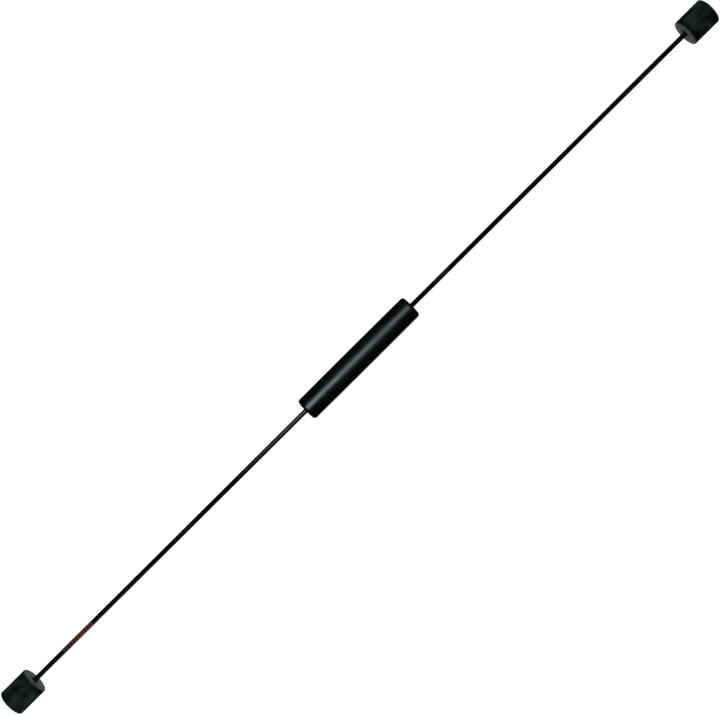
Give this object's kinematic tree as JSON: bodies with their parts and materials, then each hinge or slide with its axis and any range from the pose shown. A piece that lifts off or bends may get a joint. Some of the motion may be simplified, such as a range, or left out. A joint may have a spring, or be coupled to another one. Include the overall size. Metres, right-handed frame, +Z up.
{
  "type": "flexible exercise bar",
  "caption": "Long thin springy rod with a rubber hand grip at its middle and a rubber cylinder weight on each end, shaken to make the ends swing.",
  "frame": {"origin": "centre of the bounding box, on the rod's axis; the hand grip's own middle is 2.8 mm to the left of it", "axes": "+X along the rod, +Z up as the bar lies, +Y level and across the rod; the arms bend towards +Y and -Y"},
  "size_m": [1.56, 0.0465, 0.0464],
  "materials": {
    "rod": "glossy black glass-fibre rod with faint lengthwise fibre lines",
    "grip_rubber": "satin black moulded rubber",
    "weight_rubber": "matte black moulded rubber, slightly mottled",
    "adhesive": "cured adhesive",
    "label": "printed film, red and orange on black"
  },
  "bodies": {
    "handle": {"grip_sleeve": "grip_rubber", "grip_bond": "adhesive", "rod_middle": "rod"},
    "left_arm_1": {"rod_left_1": "rod"},
    "left_arm_2": {"rod_left_2": "rod"},
    "left_arm_3": {"rod_left_3": "rod"},
    "left_arm_4": {"rod_left_4": "rod"},
    "left_arm_5": {"rod_left_5": "rod"},
    "left_arm_6": {"rod_left_6": "rod", "label_left": "label", "weight_bond_left": "adhesive", "weight_left": "weight_rubber"},
    "right_arm_1": {"rod_right_1": "rod"},
    "right_arm_2": {"rod_right_2": "rod"},
    "right_arm_3": {"rod_right_3": "rod"},
    "right_arm_4": {"rod_right_4": "rod"},
    "right_arm_5": {"rod_right_5": "rod"},
    "right_arm_6": {"rod_right_6": "rod", "label_right": "label", "weight_bond_right": "adhesive", "weight_right": "weight_rubber"}
  },
  "joints": [
    {"name": "left_flex_1", "type": "hinge", "parent": "handle", "child": "left_arm_1", "pos_m": [-0.157, 0, 0], "axis": [0, 0, -1], "range_deg": [-8.5, 8.5], "stiffness_Nm_per_rad": 103},
    {"name": "left_flex_2", "type": "hinge", "parent": "left_arm_1", "child": "left_arm_2", "pos_m": [-0.235, 0, 0], "axis": [0, 0, -1], "range_deg": [-7.4, 7.4], "stiffness_Nm_per_rad": 103},
    {"name": "left_flex_3", "type": "hinge", "parent": "left_arm_2", "child": "left_arm_3", "pos_m": [-0.313, 0, 0], "axis": [0, 0, -1], "range_deg": [-6.3, 6.3], "stiffness_Nm_per_rad": 103},
    {"name": "left_flex_4", "type": "hinge", "parent": "left_arm_3", "child": "left_arm_4", "pos_m": [-0.391, 0, 0], "axis": [0, 0, -1], "range_deg": [-5.2, 5.2], "stiffness_Nm_per_rad": 103},
    {"name": "left_flex_5", "type": "hinge", "parent": "left_arm_4", "child": "left_arm_5", "pos_m": [-0.469, 0, 0], "axis": [0, 0, -1], "range_deg": [-4.1, 4.1], "stiffness_Nm_per_rad": 103},
    {"name": "left_flex_6", "type": "hinge", "parent": "left_arm_5", "child": "left_arm_6", "pos_m": [-0.547, 0, 0], "axis": [0, 0, -1], "range_deg": [-3, 3], "stiffness_Nm_per_rad": 103},
    {"name": "right_flex_1", "type": "hinge", "parent": "handle", "child": "right_arm_1", "pos_m": [0.157, 0, 0], "axis": [0, 0, 1], "range_deg": [-8.5, 8.5], "stiffness_Nm_per_rad": 103},
    {"name": "right_flex_2", "type": "hinge", "parent": "right_arm_1", "child": "right_arm_2", "pos_m": [0.235, 0, 0], "axis": [0, 0, 1], "range_deg": [-7.4, 7.4], "stiffness_Nm_per_rad": 103},
    {"name": "right_flex_3", "type": "hinge", "parent": "right_arm_2", "child": "right_arm_3", "pos_m": [0.313, 0, 0], "axis": [0, 0, 1], "range_deg": [-6.3, 6.3], "stiffness_Nm_per_rad": 103},
    {"name": "right_flex_4", "type": "hinge", "parent": "right_arm_3", "child": "right_arm_4", "pos_m": [0.391, 0, 0], "axis": [0, 0, 1], "range_deg": [-5.2, 5.2], "stiffness_Nm_per_rad": 103},
    {"name": "right_flex_5", "type": "hinge", "parent": "right_arm_4", "child": "right_arm_5", "pos_m": [0.469, 0, 0], "axis": [0, 0, 1], "range_deg": [-4.1, 4.1], "stiffness_Nm_per_rad": 103},
    {"name": "right_flex_6", "type": "hinge", "parent": "right_arm_5", "child": "right_arm_6", "pos_m": [0.547, 0, 0], "axis": [0, 0, 1], "range_deg": [-3, 3], "stiffness_Nm_per_rad": 103}
  ],
  "couplings": [
    {"joint": "left_flex_2", "follows": "left_flex_1", "ratio": 0.8693},
    {"joint": "left_flex_3", "follows": "left_flex_1", "ratio": 0.7387},
    {"joint": "left_flex_4", "follows": "left_flex_1", "ratio": 0.608},
    {"joint": "left_flex_5", "follows": "left_flex_1", "ratio": 0.4774},
    {"joint": "left_flex_6", "follows": "left_flex_1", "ratio": 0.3467},
    {"joint": "right_flex_2", "follows": "right_flex_1", "ratio": 0.8693},
    {"joint": "right_flex_3", "follows": "right_flex_1", "ratio": 0.7387},
    {"joint": "right_flex_4", "follows": "right_flex_1", "ratio": 0.608},
    {"joint": "right_flex_5", "follows": "right_flex_1", "ratio": 0.4774},
    {"joint": "right_flex_6", "follows": "right_flex_1", "ratio": 0.3467}
  ]
}
